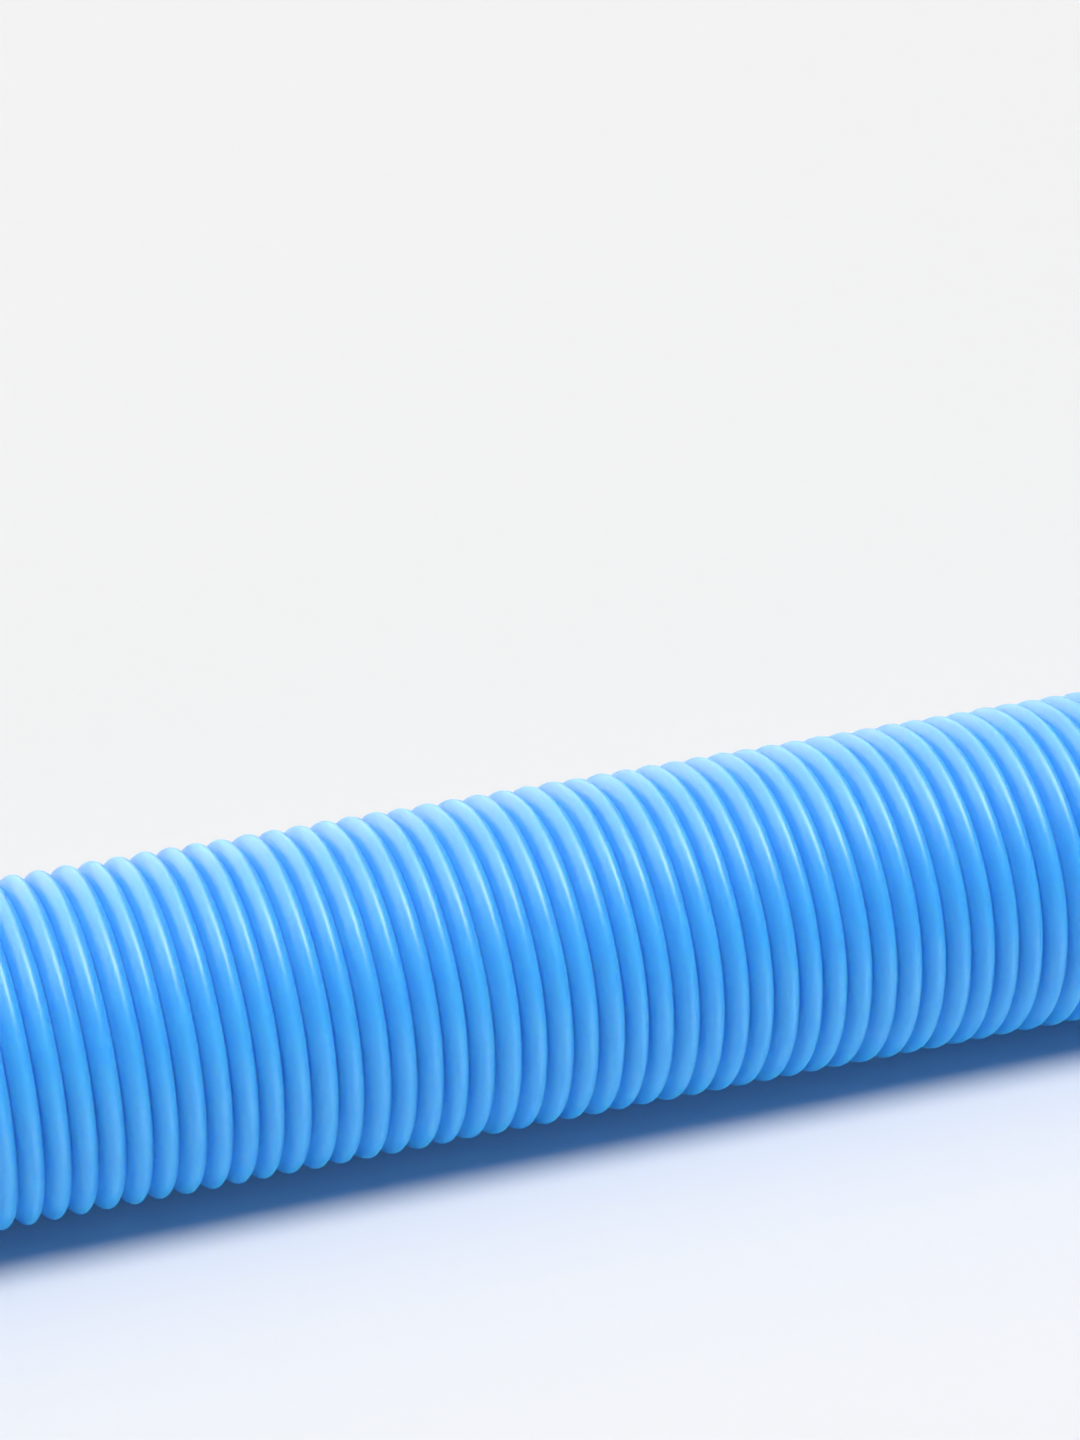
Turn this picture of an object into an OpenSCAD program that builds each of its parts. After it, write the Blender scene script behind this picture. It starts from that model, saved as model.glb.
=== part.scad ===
// Swimming pool vacuum hose: a helically ribbed hose with a swivel cuff on one end and a fixed
// cuff on the other. It lies on the floor, straight at the swivel end and wound for storage in
// two layers of turns at the other, held by three cinch straps.
// +Z is up, and the origin is the middle of the floor that the hose takes. Millimetres.

/* [Hose] */
// Bore of the hose
hose_bore = 38; // [36:0.5:38]
// Diameter over the rounded ribs
hose_od = 45; // [44:0.5:45]
// Depth of the groove between two ribs
rib_depth = 1.5; // [0.8:0.1:1.6]
// Distance from one rib to the next along the hose
rib_pitch = 3.5; // [3:0.1:5]

/* [Coil] */
// Radius that the winding would reach if it reversed sharply
coil_inner_r = 172; // [172:1:200]
// Space between two turns that lie beside or on each other
turn_gap = 1; // [1:0.1:3]
// Turns from the start of the coil to its end
coil_turns = 4; // [3.5:0.25:4]

/* [Cuffs] */
// Bore that takes the spigot of the vacuum head or of the skimmer
spigot_bore = 38.2; // [38:0.1:38.4]
// Depth of that bore
spigot_depth = 48; // [40:1:48]
// Bore of the wall that stops the spigot
stop_bore = 35; // [34:0.5:36]
// Outer diameter of both cuffs at the mouth
cuff_mouth_od = 45; // [44:0.5:46]
// Outer diameter of the swivel cuff's barrel
barrel_od = 55; // [55:0.5:56]
// Outer diameter of the fixed cuff round the hose
fixed_od = 51; // [50:0.5:52]
// Length of hose that the fixed cuff holds
fixed_socket = 35; // [30:1:38]
// Number of grip ribs round each cuff
grip_ribs = 24; // [12:1:30]

/* [Swivel] */
// Length of hose that the collar holds
collar_socket = 30; // [24:1:34]
// Outer diameter of the collar's sleeve
collar_od = 49; // [48.6:0.1:49.2]
// Outer diameter of the collar's thrust flange
flange_od = 51; // [50.6:0.1:51.1]
// Radial clearance of the collar in the retaining bush
running_clearance = 0.1; // [0.05:0.01:0.15]

/* [Ties] */
// Width of the cinch straps
strap_w = 25; // [20:1:30]
// Thickness of the webbing
strap_t = 2; // [1.5:0.1:2.5]
// Thickness of the buckle's wire
buckle_d = 4; // [3:0.5:4]

/* [Hidden] */
$fn = 96;

hose_r = hose_od / 2;
snug = 0.2;                              // between the hose and what holds it
socket_r = hose_r + 0.1;                 // the cuffs' sockets for the hose

// The straight stretch lies along X. Its route gives, at each X, how much of the lift at that
// end the hose has: on the left up to the swivel cuff's axis, on the right onto the straps.
stretch_y = 260;
stretch_mid_x = -202;
stretch_route = [
    [-392, 1], [-370, 1], [-347, 1], [-337, 0.95], [-327, 0.8], [-317, 0.5], [-307, 0.2],
    [-297, 0.05], [-286, 0], [-260, 0], [-230, 0], [-202, 0], [-170, 0], [-140, 0], [-110, 0],
    [-80, 0], [-50, 0], [-20, 0], [4, 0],
    [14, 0.05], [24, 0.2], [34, 0.5], [44, 0.8], [54, 0.95], [64, 1], [90, 1], [113, 1]
];
stretch_x0 = stretch_route[0][0];
stretch_x1 = stretch_route[len(stretch_route) - 1][0];
cuff_lift = barrel_od / 2 - hose_r;      // the barrel stands on the floor
strap_lift = strap_t + snug;             // the coil stands on its straps
slope_step = 6;                          // the slope is taken over this much each way

// The coil: the outer turn first, inwards on the floor, up a layer, and outwards on top.
turn_pitch = hose_od + turn_gap;
reverse_at = 2.25;                       // turns, in the middle of the half turn that climbs
reverse_ease = 0.2;                      // turns over which the spiral reverses, each way
coil_outer_r = coil_inner_r + turn_pitch * reverse_at;
coil_lead = atan(turn_pitch / (2 * PI * coil_outer_r));
coil_start_x = stretch_x1 + hose_od;     // after a straight run of one diameter
coil_x = coil_start_x + coil_outer_r * sin(coil_lead);
coil_y = stretch_y - coil_outer_r * cos(coil_lead);
coil_z = hose_r + strap_lift;
end_lift = fixed_od / 2 + 0.3 - hose_r - turn_gap;  // lifts the fixed cuff off the turn below
end_lift_turns = 0.2;

rings_per_turn = 24;
coil_sides = 6;
rib_sides = 8;

// The swivel cuff, from its mouth along the hose's axis.
swivel_hose_at = spigot_depth + 12;      // where the hose's end stops in the collar
swivel_mouth_x = stretch_x0 - swivel_hose_at;
swivel_z = hose_r + cuff_lift;
stop_at = spigot_depth + 3;              // the back of the wall that stops the spigot
seal_t = 2;
seal_id = 40;
flange_at = stop_at + seal_t + 0.1;
flange_t = 3;
chamber_r = flange_od / 2 + 0.2;
bush_at = flange_at + flange_t + 0.3;
barrel_end = 84;
bush_rim_t = 2;
bush_rim_in = 0.5;                       // the rim stands this far inside the barrel's face
collar_end = swivel_hose_at + collar_socket;
collar_bead_t = 3;
passage_r = hose_bore / 2;
overlap = 0.5;                           // of two solids that are one piece
neck_r = cuff_mouth_od / 2 - 1;          // inside the wall between a mouth and what it widens to

fixed_stop_t = 2;                        // wall between the spigot and the hose's other end
fixed_neck = 4;

mouth_rim = 5;                           // length of the rim at the mouth
grip_h = 1.2;
grip_w = 2.4;
grip_from = 8;
grip_to = 38;

// Where the three straps go round the coil, as turns from its start.
strap_at = [0.23, 0.56, 0.89];
strap_tail_in = 60;                      // the tail ends this far inside the coil's outer turn
bar_r = buckle_d / 2;
bar_loop_r = bar_r + 0.2;
bar_out = bar_loop_r + strap_t;          // from the strap's face out to the bars
bar_apart = 16;
sewn_end = 16;

echo(coil_outer_radius = coil_outer_r, coil_centre = [coil_x, coil_y]);

// ---- The hose's centreline ----

function stretch_z(x) =
    hose_r + lookup(x, stretch_route) * (x < stretch_mid_x ? cuff_lift : strap_lift);

function stretch_slope(x) =
    atan((stretch_z(x + slope_step) - stretch_z(x - slope_step)) / (2 * slope_step));

// A point on or round the straight stretch: r from its centreline, at angle a from +Y to +Z.
function stretch_point(x, r, a) =
    let (slope = stretch_slope(x))
    [x - r * sin(a) * sin(slope), stretch_y + r * cos(a), stretch_z(x) + r * sin(a) * cos(slope)];

function ease(u) = let (v = max(0, min(1, u))) v * v * (3 - 2 * v);

function soft_abs(d) =
    abs(d) > reverse_ease ? abs(d) : (d * d + reverse_ease * reverse_ease) / (2 * reverse_ease);

function coil_r(t) = coil_inner_r + turn_pitch * soft_abs(t - reverse_at);

function coil_azimuth(t) = 90 + coil_lead - 360 * t;

function coil_height(t) =
    coil_z + turn_pitch * ease((t - reverse_at + 0.25) / 0.5)
    + end_lift * ease((t - coil_turns + end_lift_turns) / end_lift_turns);

function coil_point(t) = [
    coil_x + coil_r(t) * cos(coil_azimuth(t)),
    coil_y + coil_r(t) * sin(coil_azimuth(t)),
    coil_height(t)
];

function unit(v) = v / norm(v);

// The direction of the coil at t, level at its two ends, which are straight.
function coil_direction(t) =
    let (d = coil_point(t + 0.001) - coil_point(t - 0.001))
    t <= 0 ? [1, 0, 0] : t >= coil_turns ? unit([d.x, d.y, 0]) : unit(d);

coil_end = coil_point(coil_turns);
end_direction = coil_direction(coil_turns);
hose_end = coil_end + hose_od * end_direction;

// Centres and directions of the coil's rings, with the straight run at each end.
coil_steps = rings_per_turn * coil_turns;
coil_centres = concat(
    [[stretch_x1, stretch_y, coil_z]],
    [for (i = [0:coil_steps]) coil_point(i / rings_per_turn)],
    [hose_end]
);
coil_directions = concat(
    [[1, 0, 0]],
    [for (i = [0:coil_steps]) coil_direction(i / rings_per_turn)],
    [end_direction]
);

function path_length(points) =
    len(points) < 2 ? 0 :
    let (steps = [for (i = [1:len(points) - 1]) norm(points[i] - points[i - 1])])
    steps * [for (s = steps) 1];

stretch_centres = [for (p = stretch_route) [p[0], stretch_y, stretch_z(p[0])]];
echo(hose_length = path_length(stretch_centres) + path_length(coil_centres));

// The least gap between two turns, on the ring centres and on the middles between them.
coil_checks = [
    for (i = [0:2 * len(coil_centres) - 2])
    (coil_centres[floor(i / 2)] + coil_centres[ceil(i / 2)]) / 2
];
least_gap = min([
    for (i = [0:len(coil_checks) - 1], j = [0:i - rings_per_turn]) if (j >= 0)
    norm(coil_checks[i] - coil_checks[j])
]) - hose_od;
echo(least_gap_between_turns = least_gap);

// ---- Tubes ----

// A ring of points round a centre. The first is turned up from the level on the left.
function ring(centre, direction, r, sides, turned) =
    let (
        side = unit(cross([0, 0, 1], direction)),
        up = cross(direction, side)
    )
    [for (k = [0:sides - 1])
        let (a = turned + 360 * k / sides)
        centre + r * (cos(a) * side + sin(a) * up)];

// Two triangles for the four points a, b, c, d in order.
function two_triangles(a, b, c, d) = [[a, b, c], [a, c, d]];

// Faces of the wall of a bore through rows of points. Flipped, they are a tube's outside.
function wall_faces(rows, sides, first) = [
    for (i = [0:rows - 2], k = [0:sides - 1])
    let (a = first + i * sides, next = (k + 1) % sides)
    each two_triangles(a + k, a + next, a + sides + next, a + sides + k)
];

function flipped(faces) = [for (f = faces) [f[2], f[1], f[0]]];

// A flat end between an outer and an inner ring of points, given by their indices.
function end_faces(outer, inner) =
    let (n = len(outer))
    [for (k = [0:n - 1])
        let (next = (k + 1) % n)
        each two_triangles(outer[k], inner[k], inner[next], outer[next])];

function run_of(first, count) = [for (k = [0:count - 1]) first + k];

module coil_tube() {
    sides = coil_sides;
    rows = len(coil_centres);
    outer = [for (i = [0:rows - 1]) each ring(coil_centres[i], coil_directions[i], hose_r, sides, 30)];
    inner = [for (i = [0:rows - 1]) each ring(coil_centres[i], coil_directions[i], passage_r, sides, 30)];
    count = rows * sides;
    polyhedron(
        points = concat(outer, inner),
        faces = concat(
            flipped(wall_faces(rows, sides, 0)),
            wall_faces(rows, sides, count),
            flipped(end_faces(run_of(0, sides), run_of(count, sides))),
            end_faces(run_of(count - sides, sides), run_of(2 * count - sides, sides))
        )
    );
}

// One helical rib wound right-handed along the straight stretch: a line of points along the
// groove and one along the crest, rib_sides points to a turn, closed by a flat ring at each end.
module ribbed_tube() {
    sides = rib_sides;
    ribs = floor((stretch_x1 - stretch_x0) / rib_pitch) - 1;
    pitch = (stretch_x1 - stretch_x0) / (ribs + 1);
    steps = ribs * sides;
    groove_r = hose_r - rib_depth;
    groove = [for (k = [0:steps + sides])
        stretch_point(stretch_x0 + pitch * k / sides, groove_r, 360 * k / sides)];
    crest = [for (k = [0:steps])
        stretch_point(stretch_x0 + pitch * (k / sides + 0.5), hose_r, 360 * k / sides)];
    start = [for (k = [1:sides - 1]) stretch_point(stretch_x0, groove_r, 360 * k / sides)];
    end = [for (k = [1:sides - 1]) stretch_point(stretch_x1, groove_r, 360 * k / sides)];
    bore = [for (p = stretch_route, k = [0:sides - 1])
        stretch_point(p[0], passage_r, 360 * k / sides)];

    c0 = len(groove);
    s0 = c0 + len(crest);
    e0 = s0 + len(start);
    b0 = e0 + len(end);
    rows = len(stretch_route);
    start_ring = concat([0], run_of(s0, sides - 1));
    end_ring = concat([steps + sides], run_of(e0, sides - 1));

    polyhedron(
        points = concat(groove, crest, start, end, bore),
        faces = concat(
            [for (k = [0:steps - 1]) each two_triangles(k, c0 + k, c0 + k + 1, k + 1)],
            [for (k = [0:steps - 1])
                each two_triangles(c0 + k, k + sides, k + sides + 1, c0 + k + 1)],
            // From the flat start to the first turn of the groove, and the rib's first end.
            [[0, 1, start_ring[1]]],
            [for (k = [1:sides - 2])
                each two_triangles(start_ring[k], k, k + 1, start_ring[k + 1])],
            two_triangles(start_ring[sides - 1], sides - 1, sides, 0),
            [[0, sides, c0]],
            // From the last turn of the groove to the flat end, and the rib's last end.
            two_triangles(steps, end_ring[0], end_ring[1], steps + 1),
            [for (k = [1:sides - 2])
                each two_triangles(steps + k, end_ring[k], end_ring[k + 1], steps + k + 1)],
            [[steps + sides - 1, end_ring[sides - 1], end_ring[0]]],
            [[steps, c0 + steps, steps + sides]],
            wall_faces(rows, sides, b0),
            flipped(end_faces(start_ring, run_of(b0, sides))),
            end_faces(end_ring, run_of(b0 + (rows - 1) * sides, sides))
        )
    );
}

// ---- Cuffs, drawn from the mouth at the origin along +Z ----

module tube(r_out, r_in, from, to) {
    translate([0, 0, from])
        difference() {
            cylinder(r = r_out, h = to - from);
            translate([0, 0, -1]) cylinder(r = r_in, h = to - from + 2);
        }
}

// Ribs along the mouth of a cuff, for wet hands.
module grips() {
    for (i = [0:grip_ribs - 1])
        rotate(360 * i / grip_ribs)
            translate([cuff_mouth_od / 2 - overlap, -grip_w / 2, grip_from])
                cube([grip_h + overlap, grip_w, grip_to - grip_from]);
}

// The part that both cuffs share: the mouth, its rim and its grip ribs.
module cuff_mouth(length) {
    difference() {
        union() {
            cylinder(r = cuff_mouth_od / 2, h = length);
            cylinder(r = cuff_mouth_od / 2 + grip_h, h = mouth_rim);
            grips();
        }
        translate([0, 0, -1]) cylinder(d = spigot_bore, h = length + 2);
    }
}

module on_swivel_axis() {
    translate([swivel_mouth_x, stretch_y, swivel_z]) rotate([0, 90, 0]) children();
}

module on_fixed_axis() {
    translate(hose_end + (spigot_depth + fixed_stop_t) * end_direction)
        rotate([0, 0, atan2(end_direction.y, end_direction.x)])
            rotate([0, -90, 0])
                children();
}

// ---- Straps and buckles, drawn in the section of the coil: X outwards, Y up ----

function turns_at(at) = [for (t = [at:1:coil_turns]) t];

// The outermost turns of the two layers, between which the buckle lies.
function low_turn(at) = [coil_r(at), coil_height(at)];

function high_turn(at) =
    let (t = max([for (t = turns_at(at)) if (t > reverse_at + 0.25) t]))
    [coil_r(t), coil_height(t)];

module round_turns(at, r) {
    hull() for (t = turns_at(at)) translate([coil_r(t), coil_height(t)]) circle(r = r, $fn = 48);
}

module webbing_layer(at, from) {
    difference() {
        round_turns(at, hose_r + snug + from + strap_t);
        round_turns(at, hose_r + snug + from);
    }
}

// Stands on the strap's outer face, half way up its outer side, with Y outwards and X down.
module on_buckle(at) {
    low = low_turn(at);
    high = high_turn(at);
    along = unit(low - high);
    out = [-along.y, along.x];
    translate((low + high) / 2 + (hose_r + snug + strap_t) * out)
        rotate(atan2(along.y, along.x))
            children();
}

module strap_section(at) {
    webbing_layer(at, 0);
    // The tail, from the upper bar over the top.
    intersection() {
        webbing_layer(at, strap_t);
        union() {
            translate([coil_r(at) - strap_tail_in, coil_height(at) + hose_r])
                square([2 * strap_tail_in, 4 * hose_od]);
            on_buckle(at) translate([-bar_apart / 2 - hose_od, -hose_od / 2]) square(hose_od);
        }
    }
    on_buckle(at)
        for (side = [-1, 1])
            translate([side * bar_apart / 2, bar_out])
                difference() {
                    union() {
                        circle(r = bar_out, $fn = 32);
                        translate([side > 0 ? 0 : -bar_out, -bar_out - 0.3])
                            square([side > 0 ? sewn_end : bar_out, strap_t]);
                    }
                    circle(r = bar_loop_r, $fn = 32);
                }
}

module on_section(at) {
    translate([coil_x, coil_y, 0])
        rotate([0, 0, coil_azimuth(at)])
            rotate([90, 0, 0])
                children();
}

module strap(number) {
    at = strap_at[number - 1];
    color([0.08, 0.08, 0.09])
        on_section(at) linear_extrude(strap_w, center = true) strap_section(at);
}

// A wire ring: the strap's sewn end holds one bar, and its tail passes round the other.
module buckle(number) {
    at = strap_at[number - 1];
    low = low_turn(at);
    high = high_turn(at);
    along = unit(low - high);
    out = [-along.y, along.x];
    middle = (low + high) / 2 + (hose_r + snug + strap_t + bar_out) * out;
    arm = strap_w / 2 + 0.6 + bar_r;
    color([0.55, 0.56, 0.58])
        on_section(at)
            translate([middle.x, middle.y, 0])
                rotate([0, 0, atan2(along.y, along.x)]) {
                    for (side = [-1, 1]) {
                        translate([side * bar_apart / 2, 0, -arm]) cylinder(r = bar_r, h = 2 * arm);
                        translate([-bar_apart / 2, 0, side * arm])
                            rotate([0, 90, 0]) cylinder(r = bar_r, h = bar_apart);
                    }
                    for (x = [-1, 1], z = [-1, 1])
                        translate([x * bar_apart / 2, 0, z * arm]) sphere(r = bar_r);
                }
}

// ---- Sub-parts ----

module hose_stretch() {
    color([0.24, 0.56, 0.93]) ribbed_tube();
}

module hose_coil() {
    color([0.24, 0.56, 0.93]) coil_tube();
}

// The shell that turns: the mouth, the wall that stops the spigot, and the barrel.
module swivel_cuff() {
    color([0.07, 0.08, 0.1])
        on_swivel_axis() {
            cuff_mouth(spigot_depth);
            tube(cuff_mouth_od / 2, stop_bore / 2, spigot_depth, stop_at);
            tube(barrel_od / 2, chamber_r, stop_at - overlap, barrel_end);
            tube(barrel_od / 2, neck_r, spigot_depth, stop_at);
        }
}

// Pressed into the barrel behind the collar's flange, which it keeps in.
module retaining_bush() {
    color([0.8, 0.81, 0.82])
        on_swivel_axis() {
            tube(chamber_r, collar_od / 2 + running_clearance, bush_at, barrel_end + overlap);
            tube(barrel_od / 2 - bush_rim_in, collar_od / 2 + running_clearance,
                barrel_end, barrel_end + bush_rim_t);
        }
}

// Screwed and glued onto the end of the hose.
module swivel_collar() {
    color([0.8, 0.81, 0.82])
        on_swivel_axis() {
            tube(flange_od / 2, passage_r, flange_at, flange_at + flange_t);
            tube(collar_od / 2, passage_r, flange_at, swivel_hose_at);
            tube(collar_od / 2, socket_r, swivel_hose_at, collar_end);
            tube(flange_od / 2, socket_r, collar_end - collar_bead_t, collar_end);
        }
}

// A flat rubber ring between the collar's flange and the cuff.
module seal_ring() {
    color([0.1, 0.1, 0.1])
        on_swivel_axis() tube(chamber_r - 0.1, seal_id / 2, stop_at, stop_at + seal_t);
}

module fixed_cuff() {
    hose_at = spigot_depth + fixed_stop_t;
    color([0.07, 0.08, 0.1])
        on_fixed_axis() {
            cuff_mouth(spigot_depth);
            tube(cuff_mouth_od / 2, stop_bore / 2, spigot_depth, hose_at);
            tube(fixed_od / 2, socket_r, hose_at, hose_at + fixed_socket);
            tube(fixed_od / 2, neck_r, hose_at - fixed_neck, hose_at);
        }
}

hose_stretch();
hose_coil();
swivel_cuff();
retaining_bush();
swivel_collar();
seal_ring();
fixed_cuff();
strap(1);  // strap_1
strap(2);  // strap_2
strap(3);  // strap_3
buckle(1);  // buckle_1
buckle(2);  // buckle_2
buckle(3);  // buckle_3
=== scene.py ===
"""Looks of a swimming pool vacuum hose: the ribbed hose, its two cuffs and its cinch straps.

Sizes are in millimetres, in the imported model's frame, and become metres where a mesh is made.
"""

from __future__ import annotations

import logging
import math
from dataclasses import dataclass, field
from enum import Enum
from functools import cached_property
from typing import Any, Callable, Mapping, Sequence

import bpy
import numpy as np
from mathutils import Matrix, Vector

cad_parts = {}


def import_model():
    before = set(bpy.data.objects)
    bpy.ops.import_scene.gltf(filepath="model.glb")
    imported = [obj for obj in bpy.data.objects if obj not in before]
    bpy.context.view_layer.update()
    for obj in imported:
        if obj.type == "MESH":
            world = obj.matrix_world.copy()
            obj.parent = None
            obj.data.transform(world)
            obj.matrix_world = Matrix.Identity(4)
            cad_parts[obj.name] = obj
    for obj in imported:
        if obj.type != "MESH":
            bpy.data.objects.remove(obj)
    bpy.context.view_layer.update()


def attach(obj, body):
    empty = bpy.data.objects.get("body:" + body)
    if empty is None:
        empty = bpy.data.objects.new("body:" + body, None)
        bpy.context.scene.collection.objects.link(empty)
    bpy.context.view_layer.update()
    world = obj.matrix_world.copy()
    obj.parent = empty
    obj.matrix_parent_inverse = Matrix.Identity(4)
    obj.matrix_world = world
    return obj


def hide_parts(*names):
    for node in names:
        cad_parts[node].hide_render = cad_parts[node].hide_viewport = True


LOG = logging.getLogger("vacuum_hose")
MM = 0.001
TURN = 2 * math.pi
UP = np.array([0.0, 0.0, 1.0])
# Edges that turn by more than this stay sharp: on turned pieces, and on the hose and webbing.
CRISP_DEG = 40
SHARP_DEG = 60


class Body(Enum):
    """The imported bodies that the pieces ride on."""

    HOSE = "hose"
    SWIVEL = "swivel"


class Slot(Enum):
    """The record's material slots."""

    HOSE = "hose_blue"
    CUFF = "cuff_black"
    COLLAR = "collar_grey"
    SEAL = "seal_rubber"
    WEBBING = "strap_webbing"
    BUCKLE = "buckle_steel"


# ---- Finishes ----


def linear(hex_colour: str) -> tuple[float, float, float, float]:
    """Turns an sRGB hex colour to linear light.

    Args:
        hex_colour: The colour as "#rrggbb".

    Returns:
        Red, green, blue and an alpha of 1.
    """
    parts = [int(hex_colour[i : i + 2], 16) / 255 for i in (1, 3, 5)]
    red, green, blue = (c / 12.92 if c <= 0.04045 else ((c + 0.055) / 1.055) ** 2.4 for c in parts)
    return (red, green, blue, 1.0)


def per_mm(size_mm: float) -> float:
    """Returns the scale at which one feature of a texture in metres is that many mm wide."""
    return 1 / (size_mm * MM)


def add_node(
    tree: bpy.types.NodeTree,
    kind: str,
    values: Mapping[str | int, Any] | None = None,
    links: Mapping[str | int, bpy.types.NodeSocket] | None = None,
    **settings: Any,
) -> bpy.types.Node:
    """Adds a node with its settings, input values and links.

    Args:
        tree: The node tree that takes the node.
        kind: The node's type, such as "ShaderNodeBump".
        values: Input sockets and the values to set on them.
        links: Input sockets and the output sockets that feed them.
        settings: The node's own settings, such as an operation.

    Returns:
        The new node.
    """
    node = tree.nodes.new(kind)
    for name, value in settings.items():
        setattr(node, name, value)
    for socket, value in (values or {}).items():
        node.inputs[socket].default_value = value
    for socket, source in (links or {}).items():
        tree.links.new(source, node.inputs[socket])
    return node


@dataclass(frozen=True)
class Finish:
    """A surface finish: what a piece is made of and how its surface was made."""

    name: str
    colour: str
    roughness: float
    ior: float = 1.5
    metallic: float = 0.0

    def material(self) -> bpy.types.Material:
        """Returns the finish's material, which is made the first time."""
        made = bpy.data.materials.get(self.name)
        if made is not None:
            return made
        made = bpy.data.materials.new(self.name)
        made.use_nodes = True
        tree = made.node_tree
        tree.nodes.clear()
        shader = add_node(
            tree,
            "ShaderNodeBsdfPrincipled",
            {
                "Base Color": linear(self.colour),
                "Roughness": self.roughness,
                "IOR": self.ior,
                "Metallic": self.metallic,
            },
        )
        add_node(tree, "ShaderNodeOutputMaterial", links={"Surface": shader.outputs["BSDF"]})
        self.dress(tree, shader)
        return made

    def dress(self, tree: bpy.types.NodeTree, shader: bpy.types.Node) -> None:
        """Adds the finish's own patterns to the shader."""

    def mottle(
        self, tree: bpy.types.NodeTree, size_mm: float, other: str, share: float
    ) -> bpy.types.NodeSocket:
        """Varies the finish's colour in soft patches.

        Args:
            tree: The material's node tree.
            size_mm: Width of a patch.
            other: The colour that the patches go towards, as "#rrggbb".
            share: How far they go towards it, from 0 to 1.

        Returns:
            The mixed colour.
        """
        place = add_node(tree, "ShaderNodeTexCoord").outputs["Object"]
        noise = add_node(
            tree,
            "ShaderNodeTexNoise",
            {"Scale": per_mm(size_mm), "Detail": 3.0, "Roughness": 0.55},
            {"Vector": place},
        )
        weight = add_node(
            tree,
            "ShaderNodeMapRange",
            {"From Min": 0.35, "From Max": 0.65, "To Min": 0.0, "To Max": share},
            {"Value": noise.outputs["Fac"]},
        )
        mixed = add_node(
            tree,
            "ShaderNodeMix",
            {"A": linear(self.colour), "B": linear(other)},
            {"Factor": weight.outputs["Result"]},
            data_type="RGBA",
        )
        return mixed.outputs["Result"]

    def grain(
        self, tree: bpy.types.NodeTree, shader: bpy.types.Node, size_mm: float, depth_mm: float
    ) -> None:
        """Roughens the surface with a fine moulded or extruded grain.

        Args:
            tree: The material's node tree.
            shader: The shader whose normal is bumped.
            size_mm: Width of a grain.
            depth_mm: Height of a grain.
        """
        place = add_node(tree, "ShaderNodeTexCoord").outputs["Object"]
        noise = add_node(
            tree,
            "ShaderNodeTexNoise",
            {"Scale": per_mm(size_mm), "Detail": 2.0, "Roughness": 0.5},
            {"Vector": place},
        )
        bump = add_node(
            tree,
            "ShaderNodeBump",
            {"Strength": 1.0, "Distance": depth_mm * MM},
            {"Height": noise.outputs["Fac"]},
        )
        tree.links.new(bump.outputs["Normal"], shader.inputs["Normal"])


@dataclass(frozen=True)
class ExtrudedEva(Finish):
    """Ethylene-vinyl acetate, wound warm from a bead: waxy, satin and a little see-through."""

    name: str = "extruded_eva_blue"
    colour: str = "#3fa5f0"
    roughness: float = 0.43
    ior: float = 1.5
    patch_colour: str = "#3aa0ee"
    # The welds are painted in this lighter colour: painted light in the creases, for the light that
    # comes through the thin welds.
    painted_weld_light_colour: str = "#55b2ff"

    def dress(self, tree: bpy.types.NodeTree, shader: bpy.types.Node) -> None:
        """Paints light into the thin welds between the beads, lighter than the shade in those
        creases would leave them, and gives the skin patches and pinpricks.
        """
        weld = add_node(tree, "ShaderNodeAttribute", attribute_name="weld")
        # Mixes in the weld colour: painted light in the creases between the beads.
        colour = add_node(
            tree,
            "ShaderNodeMix",
            {"B": linear(self.painted_weld_light_colour)},
            {"Factor": weld.outputs["Fac"], "A": self.mottle(tree, 9.0, self.patch_colour, 0.7)},
            data_type="RGBA",
        )
        tree.links.new(colour.outputs["Result"], shader.inputs["Base Color"])
        shader.inputs["Subsurface Weight"].default_value = 0.9
        shader.inputs["Subsurface Radius"].default_value = (0.25, 0.55, 1.35)
        shader.inputs["Subsurface Scale"].default_value = 5.5 * MM
        # The real pinpricks are under 0.1 mm. They are drawn coarser, to show in the gloss.
        self.grain(tree, shader, size_mm=0.45, depth_mm=0.03)


@dataclass(frozen=True)
class MouldedPolythene(Finish):
    """Injection moulded polythene: a fine spark-eroded texture with a grey satin bloom."""

    name: str = "moulded_polythene_black"
    colour: str = "#16181b"
    roughness: float = 0.42
    ior: float = 1.51

    def dress(self, tree: bpy.types.NodeTree, shader: bpy.types.Node) -> None:
        """Adds the mould's texture and the slight greying of handled plastic."""
        tree.links.new(self.mottle(tree, 14.0, "#202226", 0.8), shader.inputs["Base Color"])
        self.grain(tree, shader, size_mm=0.7, depth_mm=0.05)


@dataclass(frozen=True)
class MouldedAcetal(Finish):
    """Injection moulded acetal: hard, smooth and waxy, a light warm grey."""

    name: str = "moulded_acetal_grey"
    colour: str = "#c9cbcc"
    roughness: float = 0.3
    ior: float = 1.48

    def dress(self, tree: bpy.types.NodeTree, shader: bpy.types.Node) -> None:
        """Adds faint flow patches and a fine skin."""
        tree.links.new(self.mottle(tree, 10.0, "#bfc1c1", 0.6), shader.inputs["Base Color"])
        self.grain(tree, shader, size_mm=1.1, depth_mm=0.03)


@dataclass(frozen=True)
class CutNitrile(Finish):
    """Nitrile rubber sheet, die cut: matt black with a grey dusting."""

    name: str = "cut_nitrile_black"
    colour: str = "#1c1c1d"
    roughness: float = 0.75
    ior: float = 1.52

    def dress(self, tree: bpy.types.NodeTree, shader: bpy.types.Node) -> None:
        """Adds the dusting and the sheet's cloth-like skin."""
        tree.links.new(self.mottle(tree, 4.0, "#2c2c2d", 0.8), shader.inputs["Base Color"])
        self.grain(tree, shader, size_mm=0.6, depth_mm=0.06)


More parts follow.
